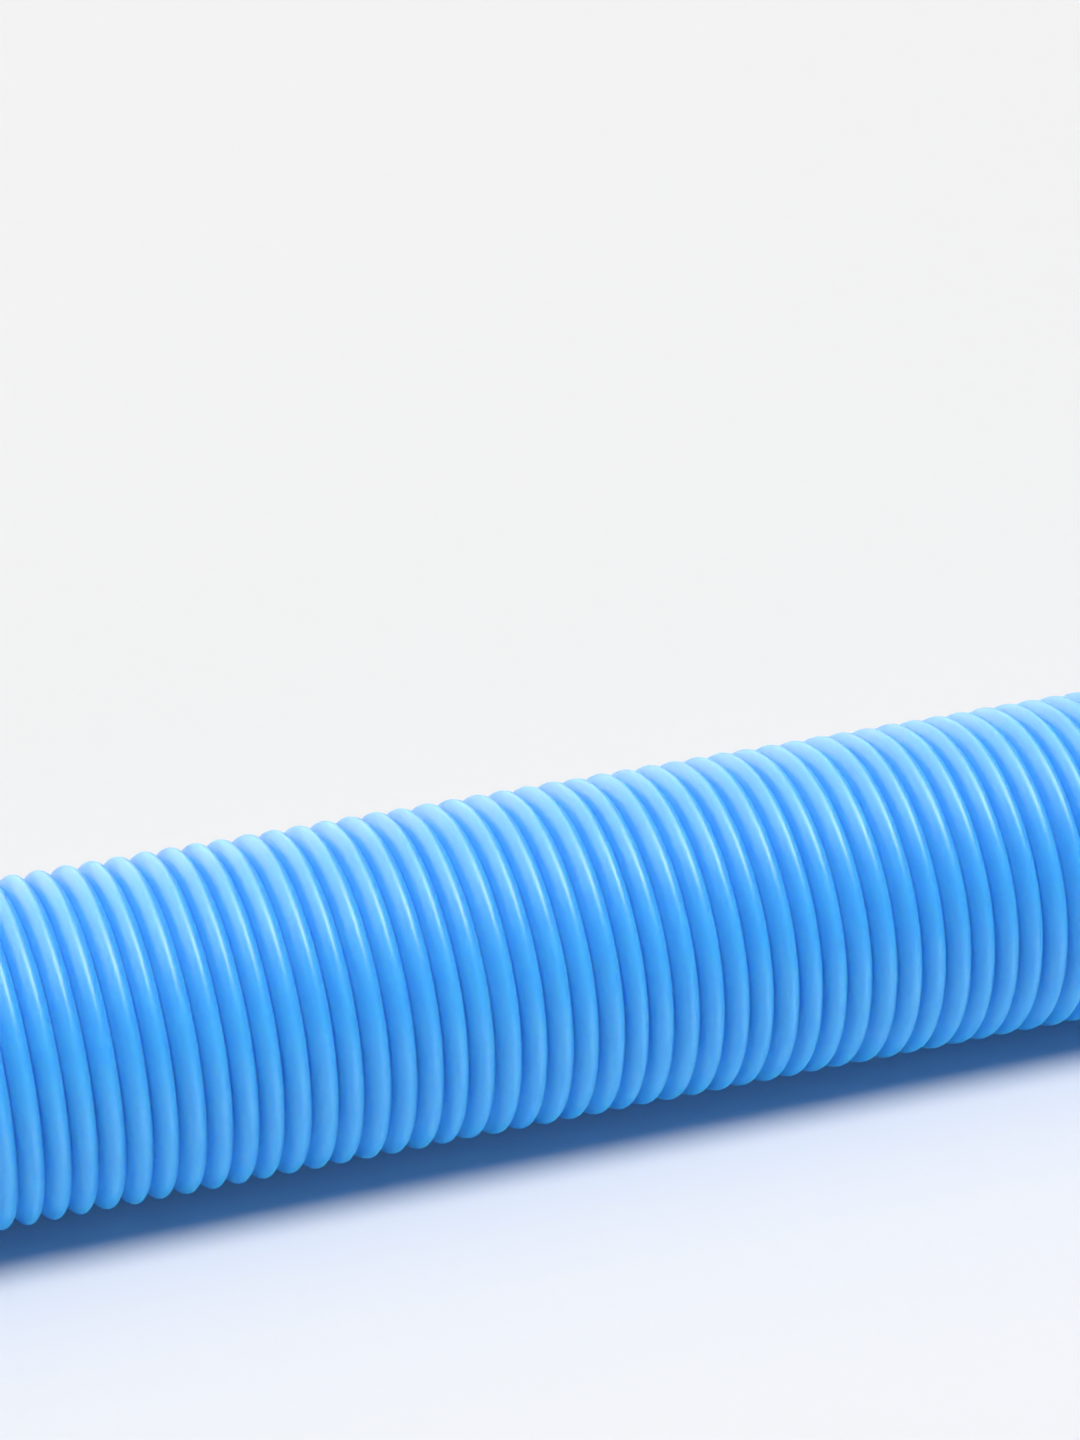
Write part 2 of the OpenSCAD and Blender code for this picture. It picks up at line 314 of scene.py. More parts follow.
@dataclass(frozen=True)
class WovenPolypropylene(Finish):
    """Polypropylene webbing, woven in offset rows of flat yarns that each catch the light."""

    name: str = "woven_polypropylene_black"
    colour: str = "#17181a"
    roughness: float = 0.72
    ior: float = 1.49
    gap_colour: str = "#08090a"
    yarn_mm: tuple[float, float] = (2.6, 1.3)

    def dress(self, tree: bpy.types.NodeTree, shader: bpy.types.Node) -> None:
        """Draws the yarns from the webbing's own lengthwise and crosswise places."""
        place = add_node(tree, "ShaderNodeUVMap", uv_map="webbing").outputs["UV"]
        weave = add_node(
            tree,
            "ShaderNodeTexBrick",
            {
                "Color1": linear(self.colour),
                "Color2": linear("#26282b"),
                "Mortar": linear(self.gap_colour),
                "Scale": 1.0,
                "Mortar Size": 0.2 * MM,
                "Mortar Smooth": 1.0,
                "Brick Width": self.yarn_mm[0] * MM,
                "Row Height": self.yarn_mm[1] * MM,
            },
            {"Vector": place},
        )
        tree.links.new(weave.outputs["Color"], shader.inputs["Base Color"])
        bump = add_node(
            tree,
            "ShaderNodeBump",
            {"Strength": 0.9, "Distance": 0.35 * MM},
            {"Height": weave.outputs["Fac"]},
            invert=True,
        )
        tree.links.new(bump.outputs["Normal"], shader.inputs["Normal"])
        shader.inputs["Sheen Weight"].default_value = 0.12


@dataclass(frozen=True)
class SewingThread(Finish):
    """Bonded nylon thread: twisted and slightly shiny."""

    name: str = "bonded_nylon_thread"
    colour: str = "#4a4d52"
    roughness: float = 0.5
    ior: float = 1.53

    def dress(self, tree: bpy.types.NodeTree, shader: bpy.types.Node) -> None:
        """Adds the thread's twist as a fine grain."""
        tree.links.new(self.mottle(tree, 1.0, "#5c6066", 0.8), shader.inputs["Base Color"])
        self.grain(tree, shader, size_mm=0.25, depth_mm=0.08)


@dataclass(frozen=True)
class DrawnStainless(Finish):
    """Stainless wire, drawn and tumbled: bright, with fine scuffs."""

    name: str = "drawn_stainless"
    colour: str = "#b9babb"
    roughness: float = 0.28
    metallic: float = 1.0

    def dress(self, tree: bpy.types.NodeTree, shader: bpy.types.Node) -> None:
        """Adds patches that are duller than the rest, and fine scuffs."""
        tree.links.new(self.mottle(tree, 6.0, "#9c9d9e", 0.8), shader.inputs["Base Color"])
        self.grain(tree, shader, size_mm=0.9, depth_mm=0.03)


@dataclass(frozen=True)
class StudioCard(Finish):
    """Smooth white card of a studio floor: matt, and as good as white."""

    name: str = "studio_card"
    colour: str = "#d9d9d9"
    roughness: float = 0.9

    def dress(self, tree: bpy.types.NodeTree, shader: bpy.types.Node) -> None:
        """Leaves the card without any gloss."""
        shader.inputs["Specular IOR Level"].default_value = 0.0


@dataclass(frozen=True)
class BackdropPaper(Finish):
    """Background paper far behind, evenly lit by lamps of its own."""

    name: str = "backdrop_paper"
    colour: str = "#000000"
    roughness: float = 1.0
    glow: str = "#f1f1f1"

    def dress(self, tree: bpy.types.NodeTree, shader: bpy.types.Node) -> None:
        """Gives the paper its even brightness."""
        shader.inputs["Specular IOR Level"].default_value = 0.0
        shader.inputs["Emission Color"].default_value = linear(self.glow)
        shader.inputs["Emission Strength"].default_value = 1.0


# ---- Meshes ----


def make_mesh(name: str, points: np.ndarray, quads: np.ndarray) -> bpy.types.Mesh:
    """Makes a smooth mesh of four-sided faces.

    Args:
        name: Name of the mesh.
        points: Its points in millimetres, one a row.
        quads: Four indices a row, with the outside on their anticlockwise side.

    Returns:
        The mesh, without the points that no face uses.
    """
    used, compact = np.unique(quads, return_inverse=True)
    points, quads = points[used], compact.reshape(quads.shape)
    mesh = bpy.data.meshes.new(name)
    mesh.vertices.add(len(points))
    mesh.vertices.foreach_set("co", (points * MM).astype(np.float32).ravel())
    mesh.loops.add(quads.size)
    mesh.loops.foreach_set("vertex_index", quads.astype(np.int32).ravel())
    mesh.polygons.add(len(quads))
    mesh.polygons.foreach_set("loop_start", np.arange(0, quads.size, 4, dtype=np.int32))
    mesh.polygons.foreach_set("use_smooth", np.ones(len(quads), dtype=bool))
    mesh.update(calc_edges=True)
    mesh.validate()
    return mesh


def grid_quads(rows: int, columns: int, wrap_rows: bool, wrap_columns: bool) -> np.ndarray:
    """Numbers the faces of a grid of points that is stored row by row.

    Args:
        rows: Number of rows.
        columns: Number of points in a row.
        wrap_rows: Whether the last row joins the first.
        wrap_columns: Whether each row is a closed ring.

    Returns:
        Four indices a face.
    """
    i, j = np.meshgrid(
        np.arange(rows if wrap_rows else rows - 1),
        np.arange(columns if wrap_columns else columns - 1),
        indexing="ij",
    )
    below, beside = (i + 1) % rows, (j + 1) % columns
    corners = [
        i * columns + j,
        i * columns + beside,
        below * columns + beside,
        below * columns + j,
    ]
    return np.stack([c.ravel() for c in corners], axis=1)


def add_piece(
    mesh: bpy.types.Mesh,
    finish: Finish,
    body: Body,
    replaces: Sequence[str] = (),
    sharp_deg: float | None = None,
) -> bpy.types.Object:
    """Puts a mesh in the scene as a piece of the object.

    Args:
        mesh: The piece's mesh, whose name it takes.
        finish: What it is made of.
        body: The body that it rides on.
        replaces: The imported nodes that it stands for.
        sharp_deg: Edges that turn by more than this stay sharp.

    Returns:
        The piece.
    """
    mesh.materials.append(finish.material())
    if sharp_deg is not None:
        mesh.set_sharp_from_angle(angle=math.radians(sharp_deg))
    piece = bpy.data.objects.new(mesh.name, mesh)
    bpy.context.scene.collection.objects.link(piece)
    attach(piece, body.value)
    if replaces:
        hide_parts(*replaces)
    LOG.info("%s: %d faces on %s", piece.name, len(mesh.polygons), body.value)
    return piece


def unit(vectors: np.ndarray) -> np.ndarray:
    """Returns the vectors, one a row, at a length of 1."""
    return vectors / np.linalg.norm(vectors, axis=-1, keepdims=True)


def divide_outline(points: Sequence[np.ndarray], step: float) -> np.ndarray:
    """Divides the sides of a closed outline that are longer than the step.

    Args:
        points: The outline's points in order.
        step: The longest side that isn't divided.

    Returns:
        The points with the new ones between them, one a row.
    """
    finer: list[np.ndarray] = []
    for k, point in enumerate(points):
        after = points[(k + 1) % len(points)]
        parts = max(1, math.ceil(np.linalg.norm(after - point) / step))
        finer += [point + (after - point) * part / parts for part in range(parts)]
    return np.array(finer)


# ---- The hose ----


def ease(share: np.ndarray | float) -> np.ndarray:
    """Returns a smooth step from 0 to 1 as the share goes from 0 to 1."""
    held = np.clip(share, 0.0, 1.0)
    return held * held * (3 - 2 * held)


@dataclass(frozen=True)
class HoseRoute:
    """The hose's centreline: a straight stretch, then a coil of two layers of turns."""

    hose_r: float = 22.5
    stretch_y: float = 260.0
    stretch_mid_x: float = -202.0
    cuff_lift: float = 5.0
    strap_lift: float = 2.2
    # Each X with how much of the lift at that end the hose has.
    lifts: tuple[tuple[float, float], ...] = (
        (-392, 1),
        (-347, 1),
        (-337, 0.95),
        (-327, 0.8),
        (-317, 0.5),
        (-307, 0.2),
        (-297, 0.05),
        (-286, 0),
        (4, 0),
        (14, 0.05),
        (24, 0.2),
        (34, 0.5),
        (44, 0.8),
        (54, 0.95),
        (64, 1),
        (113, 1),
    )
    coil_inner_r: float = 172.0
    turn_pitch: float = 46.0
    coil_turns: float = 4.0
    reverse_at: float = 2.25
    reverse_ease: float = 0.2
    climb_turns: float = 0.5
    end_lift: float = 2.3
    end_lift_turns: float = 0.2
    end_run: float = 45.0
    stretch_step: float = 1.0
    steps_a_turn: int = 360
    slope_step: float = 6.0

    @property
    def stretch_x(self) -> tuple[float, float]:
        """The X at which the stretch starts and ends."""
        return self.lifts[0][0], self.lifts[-1][0]

    @property
    def coil_z(self) -> float:
        """Height of the coil's lower layer."""
        return self.hose_r + self.strap_lift

    @property
    def coil_outer_r(self) -> float:
        """Radius of the coil where it starts."""
        return self.coil_inner_r + self.turn_pitch * self.reverse_at

    @property
    def coil_lead(self) -> float:
        """Angle by which the spiral leads its own circle, in radians."""
        return math.atan(self.turn_pitch / (TURN * self.coil_outer_r))

    @property
    def coil_centre(self) -> tuple[float, float]:
        """X and Y of the coil's middle."""
        start_x = self.stretch_x[1] + self.end_run
        return (
            start_x + self.coil_outer_r * math.sin(self.coil_lead),
            self.stretch_y - self.coil_outer_r * math.cos(self.coil_lead),
        )

    def stretch_z(self, x: np.ndarray) -> np.ndarray:
        """Returns the height of the centreline over each X of the stretch."""
        at, share = np.array(self.lifts, float).T
        lift = np.where(x < self.stretch_mid_x, self.cuff_lift, self.strap_lift)
        # Averaged over the slope's step, so that the hose bends rather than folds.
        near = np.linspace(-self.slope_step, self.slope_step, 13)
        smooth = np.mean([np.interp(x + d, at, share) for d in near], axis=0)
        return self.hose_r + smooth * lift

    def coil_r(self, turn: np.ndarray | float) -> np.ndarray:
        """Returns the coil's radius after that many turns."""
        away = np.abs(np.asarray(turn, float) - self.reverse_at)
        eased = (away**2 + self.reverse_ease**2) / (2 * self.reverse_ease)
        return self.coil_inner_r + self.turn_pitch * np.where(away > self.reverse_ease, away, eased)

    def coil_azimuth(self, turn: np.ndarray | float) -> np.ndarray:
        """Returns the angle from +X of the coil after that many turns, in radians."""
        return TURN / 4 + self.coil_lead - TURN * np.asarray(turn, float)

    def coil_height(self, turn: np.ndarray | float) -> np.ndarray:
        """Returns the height of the centreline after that many turns."""
        turn = np.asarray(turn, float)
        climb = ease((turn - self.reverse_at + self.climb_turns / 2) / self.climb_turns)
        end = ease((turn - self.coil_turns + self.end_lift_turns) / self.end_lift_turns)
        return self.coil_z + self.turn_pitch * climb + self.end_lift * end

    def coil_points(self, turn: np.ndarray) -> np.ndarray:
        """Returns the points of the centreline after those numbers of turns, one a row."""
        r, azimuth = self.coil_r(turn), self.coil_azimuth(turn)
        x, y = self.coil_centre
        return np.stack(
            [x + r * np.cos(azimuth), y + r * np.sin(azimuth), self.coil_height(turn)], axis=1
        )

    @cached_property
    def line(self) -> np.ndarray:
        """Points down the middle of the whole hose, from the swivel to the fixed cuff."""
        first, last = self.stretch_x
        x = np.arange(first, last + self.end_run, self.stretch_step)
        straight = np.stack([x, np.full_like(x, self.stretch_y), self.stretch_z(x)], axis=1)
        turns = np.linspace(0, self.coil_turns, round(self.coil_turns * self.steps_a_turn) + 1)
        coil = self.coil_points(turns)
        ahead = coil[-1] - coil[-2]
        ahead[2] = 0
        run = coil[-1] + np.outer([0.5, 1.0], unit(ahead) * self.end_run)
        return np.concatenate([straight, coil, run])

    @cached_property
    def along(self) -> np.ndarray:
        """Distance along the hose of each point of the line."""
        steps = np.linalg.norm(np.diff(self.line, axis=0), axis=1)
        return np.concatenate([[0.0], np.cumsum(steps)])

    @property
    def length(self) -> float:
        """Length of the whole hose."""
        return float(self.along[-1])

    @property
    def stretch_length(self) -> float:
        """Distance along the hose at which the stretch ends."""
        first, last = self.stretch_x
        straight = round((last + self.end_run - first) / self.stretch_step)
        return float(np.interp(last, self.line[:straight, 0], self.along[:straight]))

    def at(self, distance: np.ndarray) -> tuple[np.ndarray, np.ndarray, np.ndarray]:
        """Finds places along the hose.

        Args:
            distance: Distances along the hose.

        Returns:
            The centreline's points there, and the level and the upright direction across it.
        """
        heading = unit(np.gradient(self.line, self.along, axis=0))
        centre, ahead = (
            np.stack([np.interp(distance, self.along, table[:, k]) for k in range(3)], axis=-1)
            for table in (self.line, heading)
        )
        left = unit(np.cross(UP, ahead))
        return centre, left, unit(np.cross(ahead, left))


@dataclass(frozen=True)
class Bead:
    """The rounded bead that is wound into the hose, and the weld between two turns of it.

    The bead leans a little towards the fixed cuff, so its crest is past the middle.
    """

    pitch: float = 3.512
    first_weld: float = 0.3
    crest_r: float = 22.42
    crest_at: float = 0.56
    rise: float = 1.8
    # How much of a quarter of an oval each flank is, from 0 to 1: the second one is the steeper.
    flanks: tuple[float, float] = (0.6, 0.85)
    # Width of the band at each weld that is painted lighter, as a share of a bead: painted light.
    weld_width: float = 0.14
    # Waves of the winding's unevenness: turns a wave, start, shift along the hose, swell outwards.
    waves: tuple[tuple[float, float, float, float], ...] = (
        (2.3, 0.4, 0.04, 0.02),
        (3.7, 1.9, 0.05, 0.02),
        (7.1, 4.2, 0.05, 0.015),
        (19.3, 2.6, 0.1, 0.01),
    )

    def radius(self, phase: np.ndarray) -> np.ndarray:
        """Returns the distance from the centreline across a bead, as phase goes from 0 to 1."""
        before, after = self.flanks
        across = np.where(
            phase < self.crest_at,
            before * (self.crest_at - phase) / self.crest_at,
            after * (phase - self.crest_at) / (1 - self.crest_at),
        )
        whole = 1 - np.sqrt(1 - np.where(phase < self.crest_at, before, after) ** 2)
        return self.crest_r - self.rise * (1 - np.sqrt(1 - across**2)) / whole

    def weld(self, phase: np.ndarray) -> np.ndarray:
        """Returns 1 in the weld and 0 on the bead, as phase goes from 0 to 1: the share of painted
        light there.
        """
        from_weld = np.minimum(phase, 1 - phase)
        return 1 - ease(from_weld / self.weld_width)

    def unevenness(self, winding: np.ndarray) -> tuple[np.ndarray, np.ndarray]:
        """Returns how far each place of the winding is shifted along the hose, and swells out."""
        parts = [
            np.sin(TURN * winding / turns + start)[..., None] * np.array([shift, swell])
            for turns, start, shift, swell in self.waves
        ]
        total = np.sum(parts, axis=0)
        return total[..., 0], total[..., 1]


@dataclass(frozen=True)
class Fineness:
    """How finely hose is meshed: phases across a bead, points round it, and steps down its bore."""

    phases: tuple[float, ...]
    columns: int
    bore_step: float


NEAR = Fineness((0.0, 0.05, 0.14, 0.27, 0.41, 0.56, 0.69, 0.81, 0.9, 0.96), 88, 8.0)
FAR = Fineness((0.0, 0.1, 0.3, 0.56, 0.79, 0.93), 40, 12.0)


@dataclass
class RibbedHose:
    """The hose itself, in lengths that meet in the weld of its winding."""

    route: HoseRoute = field(default_factory=HoseRoute)
    bead: Bead = field(default_factory=Bead)
    finish: Finish = field(default_factory=ExtrudedEva)
    bore_r: float = 19.0
    od: float = 45.0
    coil_pieces: int = 4
    path_step: float = 6.0
    exit_in: float = 22.0

    def outside(
        self, first: int, last: int, fine: Fineness
    ) -> tuple[np.ndarray, np.ndarray, np.ndarray]:
        """Makes the beaded outside from one turn of the winding to another.

        Args:
            first: The first turn of the winding, which may be before the hose's end.
            last: The turn after the last.
            fine: How finely it is meshed.

        Returns:
            Points, faces, and how much each point is in the weld, which is how much painted light
            it gets.
        """
        samples, columns = len(fine.phases), fine.columns
        rows = (last - first) * samples + 1
        phase = np.array([fine.phases[i % samples] for i in range(rows)])
        turn = first + np.arange(rows) // samples + phase
        angle = np.arange(columns + 1) / columns
        winding = turn[:, None] + angle[None, :]
        shift, swell = self.bead.unevenness(winding)
        distance = self.bead.first_weld + self.bead.pitch * winding + shift
        weld_r = self.bead.radius(np.zeros(1))[0]
        outside = (distance < 0) | (distance > self.route.length)
        radius = np.where(outside, weld_r, self.bead.radius(phase)[:, None] + swell)
        centre, left, up = self.route.at(np.clip(distance, 0, self.route.length))
        turned = (TURN * angle)[None, :, None]
        points = centre + radius[..., None] * (np.cos(turned) * left + np.sin(turned) * up)

        # The last column of a row is the first column of the row one turn further on.
        number = np.arange(rows * (columns + 1)).reshape(rows, columns + 1)
        number[: rows - samples, columns] = number[samples:, 0]
        corners = [number[:-1, :-1], number[:-1, 1:], number[1:, 1:], number[1:, :-1]]
        quads = np.stack([c.ravel() for c in corners], axis=1)
        flat = outside.ravel()[quads].all(axis=1)
        weld = np.broadcast_to(self.bead.weld(phase)[:, None], radius.shape)
        return points.reshape(-1, 3), quads[~flat], weld.ravel()

    def bore(self, start: float, end: float, fine: Fineness) -> tuple[np.ndarray, np.ndarray]:
        """Makes the smooth bore between two distances along the hose, as points and faces."""
        rows = max(2, round((end - start) / fine.bore_step))
        centre, left, up = self.route.at(np.linspace(start, end, rows)[:, None])
        turned = (TURN * np.arange(fine.columns) / fine.columns)[None, :, None]
        points = centre + self.bore_r * (np.cos(turned) * left + np.sin(turned) * up)
        return points.reshape(-1, 3), grid_quads(rows, fine.columns, False, True)[:, ::-1]

    def length_of_hose(
        self, name: str, first: int, last: int, fine: Fineness, node: str
    ) -> tuple[bpy.types.Object, np.ndarray]:
        """Makes one length of the hose.

        Args:
            name: The piece's name.
            first: The first turn of the winding in it.
            last: The turn after the last.
            fine: How finely it is meshed.
            node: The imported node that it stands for.

        Returns:
            The piece, and the points down its middle in metres.
        """
        start = max(0.0, first * self.bead.pitch)
        end = min(self.route.length, last * self.bead.pitch)
        points, quads, weld = self.outside(first, last, fine)
        inner, inner_quads = self.bore(start, end, fine)
        all_quads = np.concatenate([quads, inner_quads + len(points)])
        all_points = np.concatenate([points, inner])
        mesh = make_mesh(name, all_points, all_quads)
        used = np.unique(all_quads)
        # How much painted light each point of the welds gets; the bore gets none.
        painted_light_values = np.concatenate([weld, np.zeros(len(inner))])[used]
        attribute = mesh.attributes.new("weld", "FLOAT", "POINT")
        attribute.data.foreach_set("value", painted_light_values.astype(np.float32))
        piece = add_piece(mesh, self.finish, Body.HOSE, [node], SHARP_DEG)
        count = max(2, round((end - start) / self.path_step))
        middle = self.route.at(np.linspace(start, end, count))[0] * MM
        return piece, middle

    def build(self, ends: Sequence[bpy.types.Object], ties: Sequence[bpy.types.Object]) -> None:
        """Args:
            ends: The pieces at its far end. Not used.
            ties: The pieces that hold its coil. Not used.
        """
        pitch = self.bead.pitch
        stretch_turns = round(self.route.stretch_length / pitch)
        all_turns = math.ceil(self.route.length / pitch) + 1
        marks = np.linspace(stretch_turns, all_turns, self.coil_pieces + 1).round().astype(int)
        piece, middle = self.length_of_hose(
            "hose_stretch_beaded", -1, stretch_turns, NEAR, "hose_stretch"
        )
        leaves = self.route.at(np.array([self.exit_in]))[0][0] * MM
        for k in range(self.coil_pieces):
            name = f"hose_coil_beaded_{k + 1}"
            piece, middle = self.length_of_hose(
                name, int(marks[k]), int(marks[k + 1]), FAR, "hose_coil"
            )


# ---- Cuffs ----


@dataclass(frozen=True)
class Corner:
    """A corner of a turned outline: distance from the mouth, radius, and its rounding."""

    at: float
    r: float
    rounding: float = 0.3


# The most of a side that a rounded corner takes up, and the points on its rounding.
CORNER_SHARE = 0.45
CORNER_POINTS = 5


def rounded_outline(corners: Sequence[Corner], step: float) -> np.ndarray:
    """Rounds the corners of a closed outline and divides its long sides.

    Args:
        corners: The corners in order.
        step: The longest side that isn't divided.

    Returns:
        The outline's points, one a row.
    """
    points: list[np.ndarray] = []
    count = len(corners)
    for k, corner in enumerate(corners):
        here = np.array([corner.at, corner.r])
        to_before, to_after = (
            np.array([corners[(k + side) % count].at, corners[(k + side) % count].r]) - here
            for side in (-1, 1)
        )
        reach = min(np.linalg.norm(to_before), np.linalg.norm(to_after)) * CORNER_SHARE
        before, after = unit(to_before), unit(to_after)
        half = math.acos(float(np.clip(before @ after, -1, 1))) / 2
        rounding = min(corner.rounding, reach * math.tan(half))
        middle = here + unit(before + after) * rounding / math.sin(half)
        ends = [here + side * rounding / math.tan(half) - middle for side in (before, after)]
        turns = [math.atan2(e[1], e[0]) for e in ends]
        sweep = (turns[1] - turns[0] + math.pi) % TURN - math.pi
        for share in np.linspace(0, 1, CORNER_POINTS):
            angle = turns[0] + sweep * share
            points.append(middle + rounding * np.array([math.cos(angle), math.sin(angle)]))
    return divide_outline(points, step)


@dataclass(frozen=True)
class CuffAxis:
    """The line that a cuff is turned on: its mouth, and the direction from there into it."""

    mouth: tuple[float, float, float]
    inwards: tuple[float, float, float]

    def turned(
        self,
        name: str,
        corners: Sequence[Corner],
        segments: int = 96,
        step: float = 60.0,
        bulge: Callable[[np.ndarray, np.ndarray, np.ndarray], np.ndarray] | None = None,
    ) -> bpy.types.Mesh:
        """Turns a closed outline into a mesh.

        Args:
            name: Name of the mesh.
            corners: The outline's corners, out along the outside and back along the bore.
            segments: Points round it.
            step: The longest side of the outline that isn't divided.
            bulge: Gives how far a point stands out, from its distance, radius and angle.

        Returns:
            The mesh.
        """
        outline = rounded_outline(corners, step)
        angle = TURN * np.arange(segments) / segments
        at = np.repeat(outline[:, :1], segments, axis=1)
        radius = np.repeat(outline[:, 1:], segments, axis=1)
        if bulge is not None:
            radius = radius + bulge(at, radius, np.broadcast_to(angle, radius.shape))
        inwards = unit(np.array(self.inwards, float))
        left = unit(np.cross(UP, inwards))
        up = np.cross(inwards, left)
        round_it = np.cos(angle)[:, None] * left + np.sin(angle)[:, None] * up
        points = np.array(self.mouth) + at[..., None] * inwards + radius[..., None] * round_it[None]
        quads = grid_quads(len(outline), segments, True, True)
        return make_mesh(name, points.reshape(-1, 3), quads)


@dataclass(frozen=True)
class Mouth:
    """The end of both cuffs, which takes a spigot: a rim, and grip ribs along it."""

    bore_r: float = 19.1
    stop_r: float = 17.5
    depth: float = 48.0
    outer_r: float = 22.5
    rim: float = 5.0
    grips: int = 24
    grip_h: float = 1.2
    grip_w: float = 2.6
    grip_from: float = 8.0
    grip_to: float = 38.0
    grip_end: float = 3.0
    points_a_grip: int = 14
    step: float = 1.5

    @property
    def segments(self) -> int:
        """Points round a cuff, the same number for each grip rib."""
        return self.grips * self.points_a_grip

    @property
    def corners(self) -> list[Corner]:
        """The outline's corners round the rim, from the bore to the outside."""
        rim_r = self.outer_r + self.grip_h
        return [
            Corner(0, self.bore_r, 0.7),
            Corner(0, rim_r, 1.3),
            Corner(self.rim, rim_r, 0.8),
            Corner(self.rim + 0.6, self.outer_r, 0.5),
        ]

    def grip(self, at: np.ndarray, radius: np.ndarray, angle: np.ndarray) -> np.ndarray:
        """Returns how far the grip ribs stand out at each point of the outside."""
        share = np.abs((angle * self.grips / TURN + 0.5) % 1 - 0.5)
        across = share * TURN * self.outer_r / self.grips
        crown = np.sqrt(np.clip(1 - (across / (self.grip_w / 2)) ** 2, 0, 1))
        ends = np.minimum(at - self.grip_from, self.grip_to - at) / self.grip_end
        return np.where(radius > self.outer_r - 0.2, self.grip_h * crown * ease(ends), 0.0)


@dataclass
class SwivelCuff:
    """The cuff that turns on the hose: shell, retaining bush, collar and seal."""

    route: HoseRoute
    mouth: Mouth = field(default_factory=Mouth)
    hose_at: float = 60.0
    barrel_r: float = 27.5
    barrel_end: float = 84.0
    chamber_r: float = 25.7
    stop_t: float = 3.0
    seal_t: float = 2.0
    seal_r: float = 20.0
    flange_r: float = 25.5
    flange_at: float = 53.1
    flange_t: float = 3.0
    sleeve_r: float = 24.5
    socket_r: float = 22.6
    collar_end: float = 90.0
    bead_t: float = 3.0
    bush_at: float = 56.4
    bush_rim_t: float = 2.0
    bore_r: float = 19.0
    clearance: float = 0.1
    segments: int = 128

    @property
    def axis(self) -> CuffAxis:
        """The cuff's line, which is the hose's at its end."""
        x = self.route.stretch_x[0] - self.hose_at
        z = self.route.hose_r + self.route.cuff_lift
        return CuffAxis((x, self.route.stretch_y, z), (1.0, 0.0, 0.0))

    def shell(self) -> bpy.types.Mesh:
        """Returns the shell: mouth, stop and barrel in one moulding."""
        m, chamber = self.mouth, self.mouth.depth + self.stop_t
        corners = [
            *m.corners,
            Corner(m.depth, m.outer_r, 1.6),
            Corner(m.depth, self.barrel_r, 1.8),
            Corner(self.barrel_end, self.barrel_r, 0.6),
            Corner(self.barrel_end, self.chamber_r, 0.2),
            Corner(chamber, self.chamber_r, 0.4),
            Corner(chamber, m.stop_r, 0.3),
            Corner(m.depth, m.stop_r, 0.3),
            Corner(m.depth, m.bore_r, 0.3),
        ]
        return self.axis.turned("swivel_shell", corners, m.segments, m.step, m.grip)

    def bush(self) -> bpy.types.Mesh:
        """Returns the bush that is pressed into the barrel behind the collar's flange."""
        inner_r, rim_r = self.sleeve_r + self.clearance, self.barrel_r - 0.5
        corners = [
            Corner(self.bush_at, inner_r),
            Corner(self.bush_at, self.chamber_r - 0.01),
            Corner(self.barrel_end, self.chamber_r - 0.01, 0.05),
            Corner(self.barrel_end, rim_r, 0.1),
            Corner(self.barrel_end + self.bush_rim_t, rim_r, 0.8),
            Corner(self.barrel_end + self.bush_rim_t, inner_r, 0.4),
        ]
        return self.axis.turned("swivel_bush", corners, self.segments)

    def collar(self) -> bpy.types.Mesh:
        """Returns the collar on the hose's end, with its thrust flange and its bead."""
        flange_end, bead_at = self.flange_at + self.flange_t, self.collar_end - self.bead_t
        corners = [
            Corner(self.flange_at, self.bore_r),
            Corner(self.flange_at, self.flange_r),
            Corner(flange_end, self.flange_r),
            Corner(flange_end, self.sleeve_r),
            Corner(bead_at, self.sleeve_r, 0.4),
            Corner(bead_at, self.flange_r, 0.5),
            Corner(self.collar_end, self.flange_r, 0.9),
            Corner(self.collar_end, self.socket_r, 0.5),
            Corner(self.hose_at, self.socket_r),
            Corner(self.hose_at, self.bore_r),
        ]
        return self.axis.turned("swivel_collar_turned", corners, self.segments)

    def seal(self) -> bpy.types.Mesh:
        """Returns the flat ring between the collar's flange and the shell's stop."""
        at = self.mouth.depth + self.stop_t
        corners = [
            Corner(at, self.seal_r, 0.4),
            Corner(at, self.chamber_r - 0.1, 0.4),
            Corner(at + self.seal_t, self.chamber_r - 0.1, 0.4),
            Corner(at + self.seal_t, self.seal_r, 0.4),
        ]
        return self.axis.turned("swivel_seal", corners)

    def build(self) -> None:
        """Makes the cuff's four pieces."""
        polythene, acetal = MouldedPolythene(), MouldedAcetal()
        add_piece(self.shell(), polythene, Body.SWIVEL, ["swivel_cuff"], CRISP_DEG)
        add_piece(self.bush(), acetal, Body.SWIVEL, ["retaining_bush"], CRISP_DEG)
        add_piece(self.seal(), CutNitrile(), Body.SWIVEL, ["seal_ring"], CRISP_DEG)
        add_piece(self.collar(), acetal, Body.HOSE, ["swivel_collar"], CRISP_DEG)


